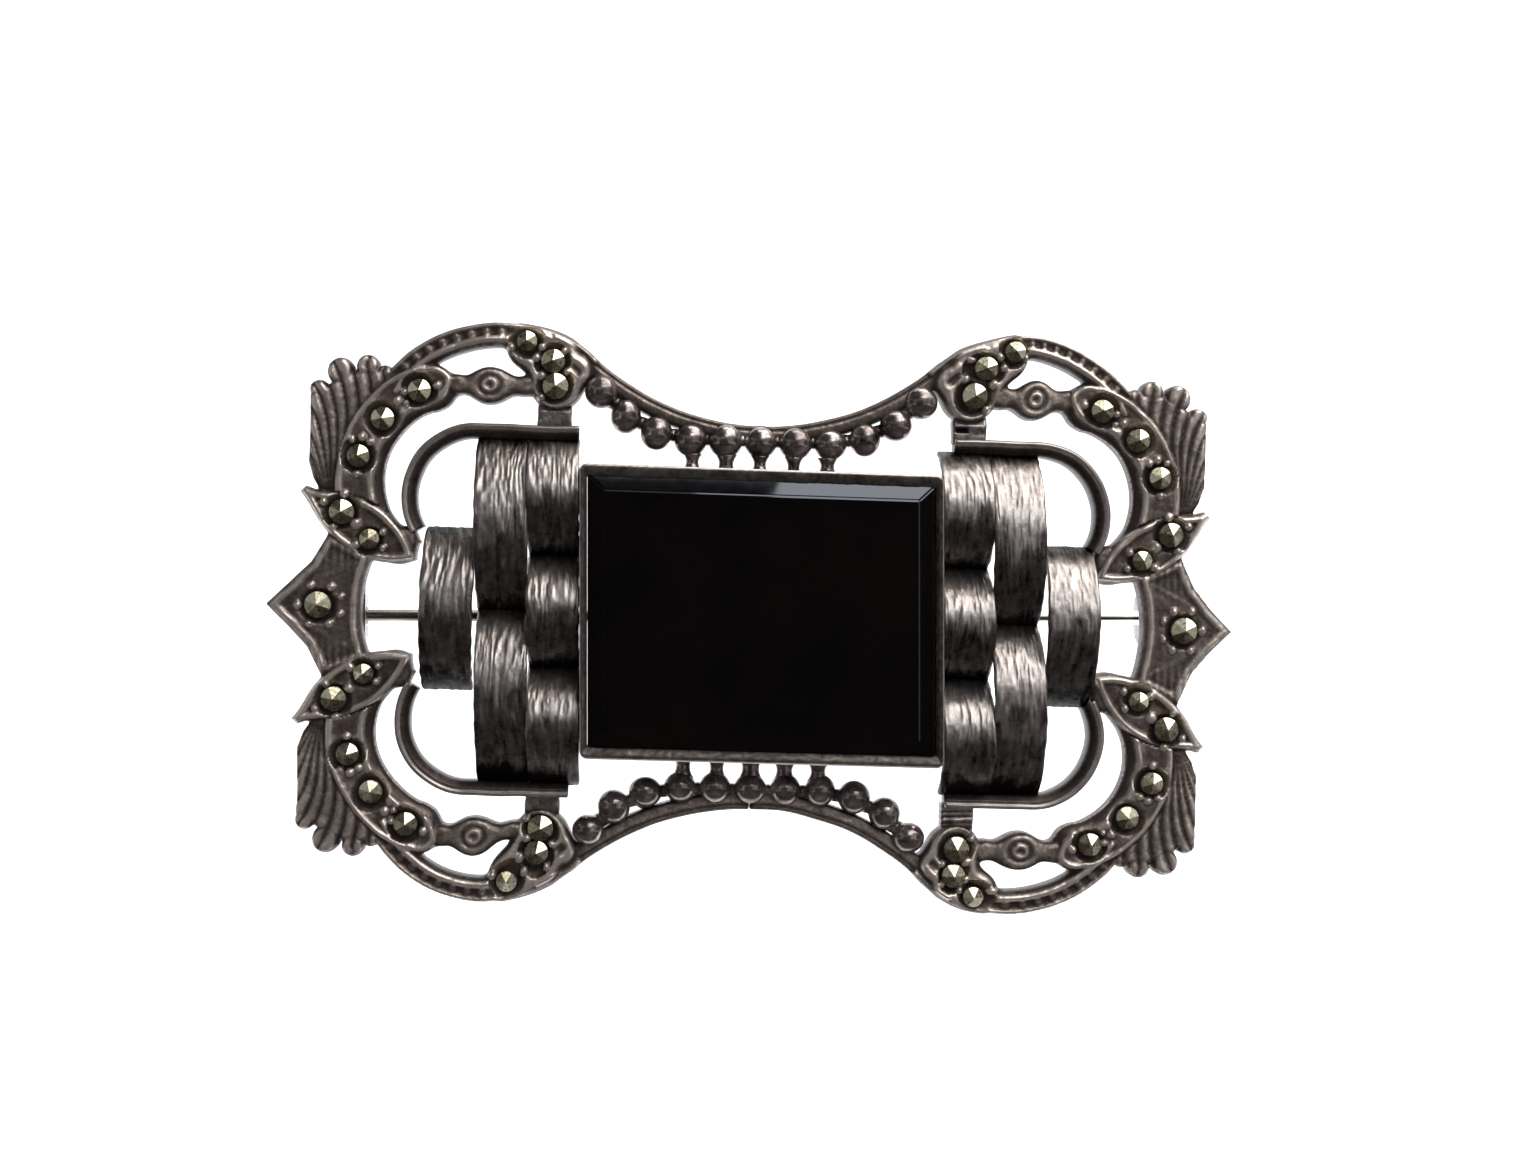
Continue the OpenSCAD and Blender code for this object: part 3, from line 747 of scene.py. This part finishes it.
def bead_row(name, node, side_z, material, seed):
    """Solder beads along the rail. Each has a foot of solder and runs together with its neighbours."""
    draw = np.random.default_rng(seed)
    work = bmesh.new()
    found = islands(node)
    radius = np.median([size[0] for _, size in found]) / 2
    low, _ = box_mm(node)
    wider, nearer = 1.035, (0.25 if side_z < 0 else 0)
    centres = []
    for centre, size in found:
        z = centre[2] - side_z * size[2] / 2 + side_z * radius + nearer
        centres.append(np.array([centre[0] * wider, low[1] + radius, z]))
    for k, centre in enumerate(centres):
        squash = 1 + draw.uniform(-0.06, 0.06, 3)
        globe(work, centre, radius * 1.1, squash)
        globe(work, centre + [0, 0.55, side_z * 0.5], radius * 0.7, (1.15, 1, 1))
        if k:
            gap = (centres[k - 1] + centre) / 2
            globe(work, gap + [0, 0.3, side_z * 0.12], 0.6, (1.1, 0.8, 0.7))
    made = from_work(name, work)
    fuse(made)
    return fit_out(made, [node], material)


def fuse(made):
    """Runs an object's overlapping parts together like molten solder."""
    remesh = made.modifiers.new("fuse", "REMESH")
    remesh.mode, remesh.voxel_size = "VOXEL", 0.06 * MM
    smooth = made.modifiers.new("flow", "SMOOTH")
    smooth.factor, smooth.iterations = 0.6, 3
    bpy.context.view_layer.update()
    fixed = bpy.data.meshes.new_from_object(made.evaluated_get(bpy.context.evaluated_depsgraph_get()))
    made.modifiers.clear()
    made.data = fixed
    smooth_faces(made.data)


def post_row(name, node, side_z, material, seed):
    """Short drawn-out stems of solder between the bezel and the five middle beads."""
    draw = np.random.default_rng(seed)
    points, faces = [], []
    for centre, size in islands(node):
        foot, neck = draw.uniform(0.45, 0.7), draw.uniform(0.3, 0.5)
        start, stop = centre[2] - side_z * size[2] / 2, centre[2] + side_z * size[2] / 2
        sections = []
        for t in np.linspace(0, 1, 12):
            r = neck + (foot - neck) * (1 - t) ** 3 + 0.3 * t ** 3
            z = start + (stop - start) * t
            sections.append([(centre[0] + r * math.cos(a), centre[1] + min(r, 0.5) * math.sin(a), z)
                             for a in np.linspace(0, 2 * math.pi, 24, endpoint=False)])
        more, quads = loft(sections)
        if side_z < 0:
            quads = flipped(quads)
        faces += [tuple(len(points) + k for k in f) for f in quads]
        points += more.tolist()
    return piece(name, points, faces, [node], material)


# ---------------------------------------------------------------- bezel and stone
# The lip's width along the top and bottom, its share of that at the sides, and the corner's radius
LIP_W, SIDE_LIP, CORNER_R = 0.78, 0.6, 0.5


def in_setting(x, z):
    """Where a point of the square setting lies on the hand-made one."""
    return x + SETTING_SHIFT - SETTING_LEAN * z, z + SETTING_LIFT


def rectangle_station(half_w, half_h, offset, counts):
    """Points round a rectangle that is set in by an offset and has rounded corners."""
    r = max(CORNER_R - offset, 0.03)
    inner_w, inner_h = half_w - offset * SIDE_LIP - r, half_h - offset - r
    signs = ((1, 1), (-1, 1), (-1, -1), (1, -1))
    points = []
    for corner, (cx, cz) in enumerate(signs):
        for a in np.linspace(0, math.pi / 2, 9):
            turn = a + corner * math.pi / 2
            points.append((cx * inner_w + r * math.cos(turn), cz * inner_h + r * math.sin(turn)))
        last, (nx, nz) = points[-1], signs[(corner + 1) % 4]
        goal_turn = (corner + 1) * math.pi / 2
        goal = (nx * inner_w + r * math.cos(goal_turn), nz * inner_h + r * math.sin(goal_turn))
        for t in np.linspace(0, 1, counts[corner % 2] + 2)[1:-1]:
            points.append((last[0] + (goal[0] - last[0]) * t, last[1] + (goal[1] - last[1]) * t))
    return np.array(points)


def bezel(name, node, material):
    """A box of strip silver whose edge is rubbed down over the stone, leaving tool marks."""
    low, high = box_mm(node)
    half_w, half_h, deep = high[0] + SETTING_SPREAD, high[2], -low[1]
    # Profile as (distance inwards, depth): up the outside, over the lip and down the inside
    wall = [(0.06, 0), (0, 0.08), (0, deep * 0.3), (0, deep * 0.6), (0, deep - 0.5), (0, deep - 0.3)]
    lip = [(0.03, deep - 0.12), (0.1, deep - 0.03), (0.18, deep), (0.28, deep - 0.01), (0.38, deep - 0.04),
           (0.48, deep - 0.09), (0.58, deep - 0.15), (0.68, deep - 0.23), (LIP_W - 0.03, deep - 0.31)]
    inside = [(LIP_W, deep - 0.38), (LIP_W, deep - 0.6), (0.62, deep - 1), (0.6, 0)]
    profile = wall + lip + inside
    rings = [rectangle_station(half_w, half_h, offset, (150, 120)) for offset, _ in profile]
    along = run_length(rings[0])
    sections = np.zeros((len(along), len(profile), 3))
    wear_and_painted_light = np.zeros(sections.shape[:2])
    for k, (offset, y) in enumerate(profile):
        rubbed = 1.0 if y > deep - 0.35 and offset > 0.05 else 0.0
        marks = 0.026 * value_noise(along / 0.2, np.full(len(along), offset / 0.16), 61)
        marks = marks + 0.024 * value_noise(along / 0.7, np.full(len(along), offset / 0.4), 62)
        depth = y + rubbed * marks * (0.4 if y >= deep - 0.005 else 1) - 0.02 * rubbed
        x, z = in_setting(rings[k][:, 0], rings[k][:, 1])
        sections[:, k] = np.stack([x, -np.clip(depth, 0, deep), z], -1)
        bright_edge = 0.7 if 0.02 < offset < 0.15 and deep - y < 0.2 else 0
        wear_and_painted_light[:, k] = 0.27 + rubbed * 6 * marks + bright_edge
    points, faces = loft(sections, ring=True)
    return piece(name, points, faces, [node], material, wear_and_painted_light=np.clip(wear_and_painted_light, 0, 1).reshape(-1))


def cut_stone(name, node, material):
    """A flat black slab: a polished table, four wide bevels and narrow arrises between them."""
    low, high = box_mm(node)
    half_w, half_h = high[0] + SETTING_SPREAD + 0.15, high[2]
    # Half sizes and depth behind the table: the back, the girdle's two edges and the table
    levels = [(half_w - 0.5, half_h - 0.5, 3.4), (half_w - 0.02, half_h - 0.02, 3.0),
              (half_w - 0.02, half_h - 0.02, 0.62), (half_w - 1.1, half_h - 1.0, 0)]
    work = bmesh.new()
    rings = []
    for w, h, behind in levels:
        corners = [in_setting(a * w, b * h) for a, b in ((-1, -1), (1, -1), (1, 1), (-1, 1))]
        rings.append([work.verts.new((x * MM, (low[1] + behind) * MM, z * MM)) for x, z in corners])
    for lower, upper in zip(rings, rings[1:]):
        for k in range(4):
            work.faces.new((lower[k], lower[(k + 1) % 4], upper[(k + 1) % 4], upper[k]))
    work.faces.new(rings[0][::-1])
    work.faces.new(rings[-1])
    bmesh.ops.recalc_face_normals(work, faces=work.faces)
    bmesh.ops.bevel(work, geom=list(work.edges), offset=0.1 * MM, segments=3, affect="EDGES")
    return fit_out(from_work(name, work), [node], material)


# ---------------------------------------------------------------- marcasites
def settled(centre):
    """Where a stone ends up: it strays as far as the casting does at its final place."""
    right, up = 0, 0
    for _ in range(12):
        right, up = stray(centre[0] + right, centre[2] + up)
    return centre + np.array([right, 0, up])


def marcasites(name, node, material, seed):
    """Small pyrite stones, each a round girdle under six flat facets that meet in a point."""
    draw = np.random.default_rng(seed)
    points, faces = [], []
    around, facet = 36, math.pi / 3
    angles = np.linspace(0, 2 * math.pi, around, endpoint=False)
    for centre, size in islands(node):
        centre = settled(centre)
        r, turn = size[0] / 2, draw.uniform(0, facet)
        lean = draw.uniform(-0.1, 0.1, 2)
        low, front = centre[1] + size[1] / 2, centre[1] - size[1] / 2
        rise = size[1] * 0.5 / math.cos(facet / 2)
        crown = [front + rise * math.cos(a % facet - facet / 2) for a in angles]
        base = len(points)
        for a, y in [(a, low) for a in angles] + list(zip(angles, crown)):
            dx, dz = r * math.cos(a + turn), r * math.sin(a + turn)
            tilt = (lean[0] * dx + lean[1] * dz) * (y < low)
            points.append((centre[0] + dx, max(y + tilt, front), centre[2] + dz))
        points.append((centre[0], front, centre[2]))
        ring, apex = base + around, base + 2 * around
        for k in range(around):
            n = (k + 1) % around
            faces.append((base + k, base + n, ring + n, ring + k))
            faces.append((ring + k, ring + n, apex))
        faces.append(tuple(base + k for k in range(around))[::-1])
    return piece(name, points, faces, [node], material, smooth=False)


# ---------------------------------------------------------------- materials
def noise_texture(tree, place, size_mm, detail, roughness=0.5):
    """Noise with spots of about the given size."""
    settings = {"Scale": 1 / (size_mm * MM), "Detail": detail, "Roughness": roughness}
    return add(tree, "TexNoise", settings, {"Vector": place}).outputs["Fac"]


def metal(name, dark, light, rough, relief, grain_mm, contrast, wear_and_painted_light=None, streak=None, skin=0, speckle=0.3):
    """Silver under a dark sulphide skin, matt where it is thick and rubbed off the high places. The dark
    colours are the skin's, thick and thin. Without an even value, the mesh gives each place's tone: how worn
    it is, and on the ribbons painted light and shade as well."""
    material, tree = new_material(name)
    place = add(tree, "TexCoord").outputs["Object"]
    if streak:
        place = add(tree, "Mapping", {"Scale": streak}, {"Vector": place}).outputs["Vector"]
    patches = noise_texture(tree, place, 4 * grain_mm, 4.0, 0.6)
    grain = noise_texture(tree, place, grain_mm, 5.0, 0.65)

    def math_node(operation, settings, links):
        return add(tree, "Math", {"operation": operation, **settings}, links).outputs[0]

    if wear_and_painted_light is None:
        # On the ribbons this attribute holds painted light and shade as well as wear
        high = add(tree, "Attribute", {"attribute_name": "wear_and_painted_light"}).outputs["Fac"]
    else:
        high = math_node("ADD", {1: wear_and_painted_light - 0.5}, {0: patches})
    mottled = math_node("MULTIPLY_ADD", {1: 0.5, 2: -0.25}, {0: patches})
    rubbed = math_node("ADD", {}, {0: high, 1: mottled})
    speckled = math_node("MULTIPLY_ADD", {1: speckle}, {0: grain, 2: rubbed})
    shifted = math_node("SUBTRACT", {1: speckle / 2}, {0: speckled})
    middle = (contrast[0] + contrast[1]) / 2
    colour = ramp(tree, shifted, [(contrast[0], dark[0]), (middle, dark[1]), (contrast[1], light)])
    rough_node = add(tree, "MapRange", {"To Min": rough[1], "To Max": rough[0]}, {"Value": shifted})
    bump_node = add(tree, "Bump", {"Strength": relief, "Distance": 0.03 * MM}, {"Height": grain})
    finish_material(tree, {"Metallic": 1.0 - skin},
                    {"Base Color": colour.outputs["Color"], "Roughness": rough_node.outputs["Result"],
                     "Normal": bump_node.outputs["Normal"]})
    return material


def oxidised_silver():
    """Cast sterling darkened with liver of sulphur: brown-black hollows, pinkish-grey rubbed ridges."""
    return metal("oxidised_cast_silver", ("#453b37", "#72675f"), "#bcb0a6", (0.3, 0.47), 0.8,
                 grain_mm=0.18, contrast=(0.1, 0.95), skin=0.2, speckle=0.55)


def bead_silver():
    """Melted silver solder, oxidised and handled: smooth, dark and softly shiny."""
    return metal("oxidised_solder_beads", ("#2c2727", "#7f7470"), "#beb8b6", (0.12, 0.24), 0.2,
                 grain_mm=0.3, contrast=(0.2, 0.95), wear_and_painted_light=0.5, skin=0.15)


def ribbon_silver():
    """Rolled silver given a bark finish with a graver: bright lines, black between them."""
    return metal("bark_textured_silver", ("#1a1614", "#766f6a"), "#a8a19c", (0.32, 0.46), 0.3,
                 grain_mm=0.16, contrast=(0.12, 0.95), skin=0.08)


def wire_silver():
    """Drawn silver strip, oxidised, with its front edge rubbed bright."""
    return metal("oxidised_silver_strip", ("#221d1b", "#514843"), "#a39a94", (0.28, 0.45), 0.3,
                 grain_mm=0.2, contrast=(0.15, 1.0), skin=0.18)


def bezel_silver():
    """Bezel strip, oxidised, its lip rubbed over the stone and left speckled by the burnisher."""
    return metal("burnished_bezel_silver", ("#35302c", "#5d5650"), "#aca59f", (0.26, 0.45), 0.4,
                 grain_mm=0.12, contrast=(0.1, 1.0), skin=0.3)


def back_silver():
    """Rolled sheet silver, grey with tarnish, with faint wiping marks."""
    return metal("tarnished_sheet_silver", ("#5d554f", "#7f766f"), "#a69d95", (0.28, 0.46), 0.3,
                 grain_mm=0.5, contrast=(0.2, 0.9), wear_and_painted_light=0.5, streak=(1, 1, 0.25))


def findings_silver():
    """Machined silver fittings, lightly tarnished: grey with brighter wear."""
    return metal("tarnished_silver_fittings", ("#645d57", "#8c837b"), "#b9b0a8", (0.22, 0.38), 0.2,
                 grain_mm=0.3, contrast=(0.2, 0.9), wear_and_painted_light=0.55)


def pin_steel():
    """Drawn steel pin wire: slightly yellow grey, with fine lines along its length."""
    return metal("drawn_pin_wire", ("#4d4a43", "#7c786e"), "#b7b2a6", (0.2, 0.36), 0.25,
                 grain_mm=0.12, contrast=(0.2, 0.9), wear_and_painted_light=0.55, streak=(0.08, 1, 1))


def marcasite_pyrite():
    """Polished iron pyrite: a pale brassy mirror, each facet flat and a little pitted."""
    material, tree = new_material("polished_pyrite")
    pits = noise_texture(tree, add(tree, "TexCoord").outputs["Object"], 0.18, 3.0)
    colour = ramp(tree, pits, [(0.35, "#bcb592"), (0.55, "#dcd6ba"), (0.7, "#ece8d4")])
    rough = add(tree, "MapRange", {"To Min": 0.18, "To Max": 0.42}, {"Value": pits})
    finish_material(tree, {"Metallic": 1.0},
                    {"Base Color": colour.outputs["Color"], "Roughness": rough.outputs["Result"]})
    return material


def black_onyx():
    """Dyed black chalcedony, polished: near black with a clear gloss and faint wiping marks."""
    material, tree = new_material("polished_black_onyx")
    place = add(tree, "TexCoord").outputs["Object"]
    colour = ramp(tree, noise_texture(tree, place, 6, 3.0), [(0.3, "#020202"), (0.7, "#060404")])
    rough = add(tree, "MapRange", {"To Min": 0.015, "To Max": 0.05},
                {"Value": noise_texture(tree, place, 0.7, 6.0)})
    finish_material(tree, {"IOR": 1.58, "Specular Tint": linear("#e7f1ff")},
                    {"Base Color": colour.outputs["Color"], "Roughness": rough.outputs["Result"]})
    return material


def studio_paper():
    """Seamless background paper: matt, very pale and a little cool."""
    material, tree = new_material("seamless_paper")
    place = add(tree, "TexCoord").outputs["Object"]
    colour = ramp(tree, noise_texture(tree, place, 1.2, 4.0), [(0.3, "#f3f4f7"), (0.7, "#f8f9fb")])
    finish_material(tree, {"Roughness": 0.9, "Specular IOR Level": 0.2},
                    {"Base Color": colour.outputs["Color"]})
    return material


def flag_cloth():
    """Black cloth that photographers hang to keep light off: matt and nearly black."""
    material, tree = new_material("black_flag_cloth")
    finish_material(tree, {"Base Color": linear("#241e1b"), "Roughness": 1.0, "Specular IOR Level": 0.0})
    return material


# ---------------------------------------------------------------- the stage
def oblong(left, bottom, right, top):
    return [(left, bottom), (right, bottom), (right, top), (left, top)]


# The stage is in metres. The paper lies flat under the brooch, bends up behind it and stands upright.
FLOOR_Z, FLOOR_FRONT, BEND_Y, BEND_R, PAPER_TOP, PAPER_HALF_W = -0.06, -1.2, 0.35, 0.25, 1.0, 1.5
# Dark flags that only reflections see: the axis each one faces, its place on it, and its corners
FLAGS = (
    ("y", -0.45, oblong(-0.4, -0.16, 0.12, 0.16)),   # in front, so that the metal's flat places turn dark
    ("z", -0.055, oblong(-0.3, -0.45, 0.3, 0)),      # just above the floor, for the lower bevel
    ("x", -0.4, oblong(-0.3, -0.055, 0, 0.16)),      # at both sides, for the side bevels
    ("x", 0.4, oblong(-0.3, -0.055, 0, 0.16)),
    # above, so that the gleam on the top bevel ends near its middle, and further left for the left half
    ("z", 0.4, [(-0.07, -0.23), (0.006, -0.23), (0.027, -0.165), (-0.07, -0.165)]),
    ("z", 0.4, oblong(-0.6, -0.8, -0.07, 0.1)),
)
# A small card above the left end, which really shades it
SHADE = ("z", 0.06, oblong(-0.09, -0.08, -0.012, 0.02))
# Lamps: name, place, target, size, watts and colour
LAMPS = (
    ("window_softbox", (0.28, -0.2, 0.54), (0, 0, 0), (0.52, 0.5), 3.5, "#fffaf6"),
    ("front_fill", (0.15, -0.5, 0.42), (0, 0, 0), (0.3, 0.2), 0.8, "#f4f8ff"),
    ("back_wash", (0, 0.15, 0.75), (0, 0.5, 0), (1.2, 0.4), 7, "#ffffff"),
)


def flat_cards(name, cards, material):
    """An object made of flat four-cornered cards, which the camera doesn't see."""
    corners = []
    for axis, place, outline in cards:
        corners += [np.insert(corner, "xyz".index(axis), place) for corner in np.array(outline)]
    mesh = bpy.data.meshes.new(name)
    mesh.from_pydata(corners, [], [tuple(range(k, k + 4)) for k in range(0, len(corners), 4)])
    mesh.materials.append(material)
    made = new_object(name, mesh)
    made.visible_camera = False
    return made


def paper_sweep():
    """A sheet of paper that is the floor and, past a bend, the background."""
    profile = [(FLOOR_FRONT, FLOOR_Z), (BEND_Y, FLOOR_Z)]
    for a in np.linspace(-math.pi / 2, 0, 16):
        profile.append((BEND_Y + BEND_R * math.cos(a), FLOOR_Z + BEND_R + BEND_R * math.sin(a)))
    profile.append((BEND_Y + BEND_R, PAPER_TOP))
    points = [(x, y, z) for y, z in profile for x in (-PAPER_HALF_W, PAPER_HALF_W)]
    faces = [(2 * k, 2 * k + 1, 2 * k + 3, 2 * k + 2) for k in range(len(profile) - 1)]
    mesh = bpy.data.meshes.new("paper_sweep")
    mesh.from_pydata(points, [], faces)
    smooth_faces(mesh)
    mesh.materials.append(studio_paper())
    return new_object("paper_sweep", mesh)


def stage():
    """Pale paper, dark flags around the brooch and soft light from above."""
    sweep, cloth = paper_sweep(), flag_cloth()
    card = flat_cards("dark_flag", FLAGS, cloth)
    card.visible_diffuse = card.visible_shadow = False
    shade = flat_cards("shade_card", [SHADE], cloth)
    world = bpy.data.worlds.new("studio")
    bpy.context.scene.world = world
    world.use_nodes = True
    background = world.node_tree.nodes["Background"]
    background.inputs["Color"].default_value = linear("#f1f4fa")
    background.inputs["Strength"].default_value = 0.7
    for lamp in LAMPS:
        area_light(*lamp)
    bpy.context.scene.view_settings.view_transform = "Standard"


# ---------------------------------------------------------------- putting it together
def ornament():
    silver, solder, bark, strip = oxidised_silver(), bead_silver(), ribbon_silver(), wire_silver()
    cast_half("right_casting", "right_frame", 1, silver)
    cast_half("left_casting", "left_frame", -1, silver)
    for word, side_z, seed in (("top", 1, 21), ("bottom", -1, 22)):
        bead_row(f"{word}_solder_beads", f"{word}_beads", side_z, solder, seed)
        post_row(f"{word}_solder_posts", f"{word}_posts", side_z, solder, seed + 10)
    waves = {"inner": INNER_WAVES, "middle": MIDDLE_WAVES, "outer": OUTER_WAVES}
    for k, which in enumerate(waves):
        for side, word in ((1, "right"), (-1, "left")):
            node = f"{word}_{which}_ribbon"
            ribbon(f"{word}_{which}_bark_ribbon", node, waves[which], bark, 100 + 10 * k + 50 * side)
    pyrite = marcasite_pyrite()
    for side_x, word in ((1, "right"), (-1, "left")):
        for side_z, height in ((1, "upper"), (-1, "lower")):
            seed = 200 + 10 * side_x + side_z
            corner = f"{height}_{word}"
            wire(f"{corner}_strip_wire", f"{corner}_wire", side_x, side_z, strip, seed)
            tab(f"{corner}_tie_tab", f"{corner}_tab", side_z, strip, seed + 20,
                slot=(corner == "upper_right"), lined=(corner == "lower_right"))
            marcasites(f"{corner}_stones", f"{corner}_marcasites", pyrite, seed + 40)
        marcasites(f"{word}_point_stone", f"{word}_point_marcasite", pyrite, 300 + side_x)


def setting():
    bezel("bezel_strip", "bezel_wall", bezel_silver())
    seat = softened("bezel_back_plate", "bezel_seat", back_silver(), 0.12)
    seat.data.transform(Matrix.Translation((SETTING_SHIFT * MM, 0, SETTING_LIFT * MM)))
    cut_stone("bevelled_onyx", "onyx", black_onyx())


def findings():
    fittings = findings_silver()
    for name, node, width in (("hinge_bracket", "hinge_base", 0.1), ("hinge_pin", "hinge_rivet", 0.12),
                              ("catch_plate", "catch_base", 0.1), ("catch_barrel", "catch_housing", 0.08),
                              ("catch_roller", "catch_rotor", 0.06)):
        softened(name, node, fittings, width)
    softened("brooch_pin", "pin_stem", pin_steel(), 0.05)


studio_camera()
stage()
ornament()
setting()
findings()
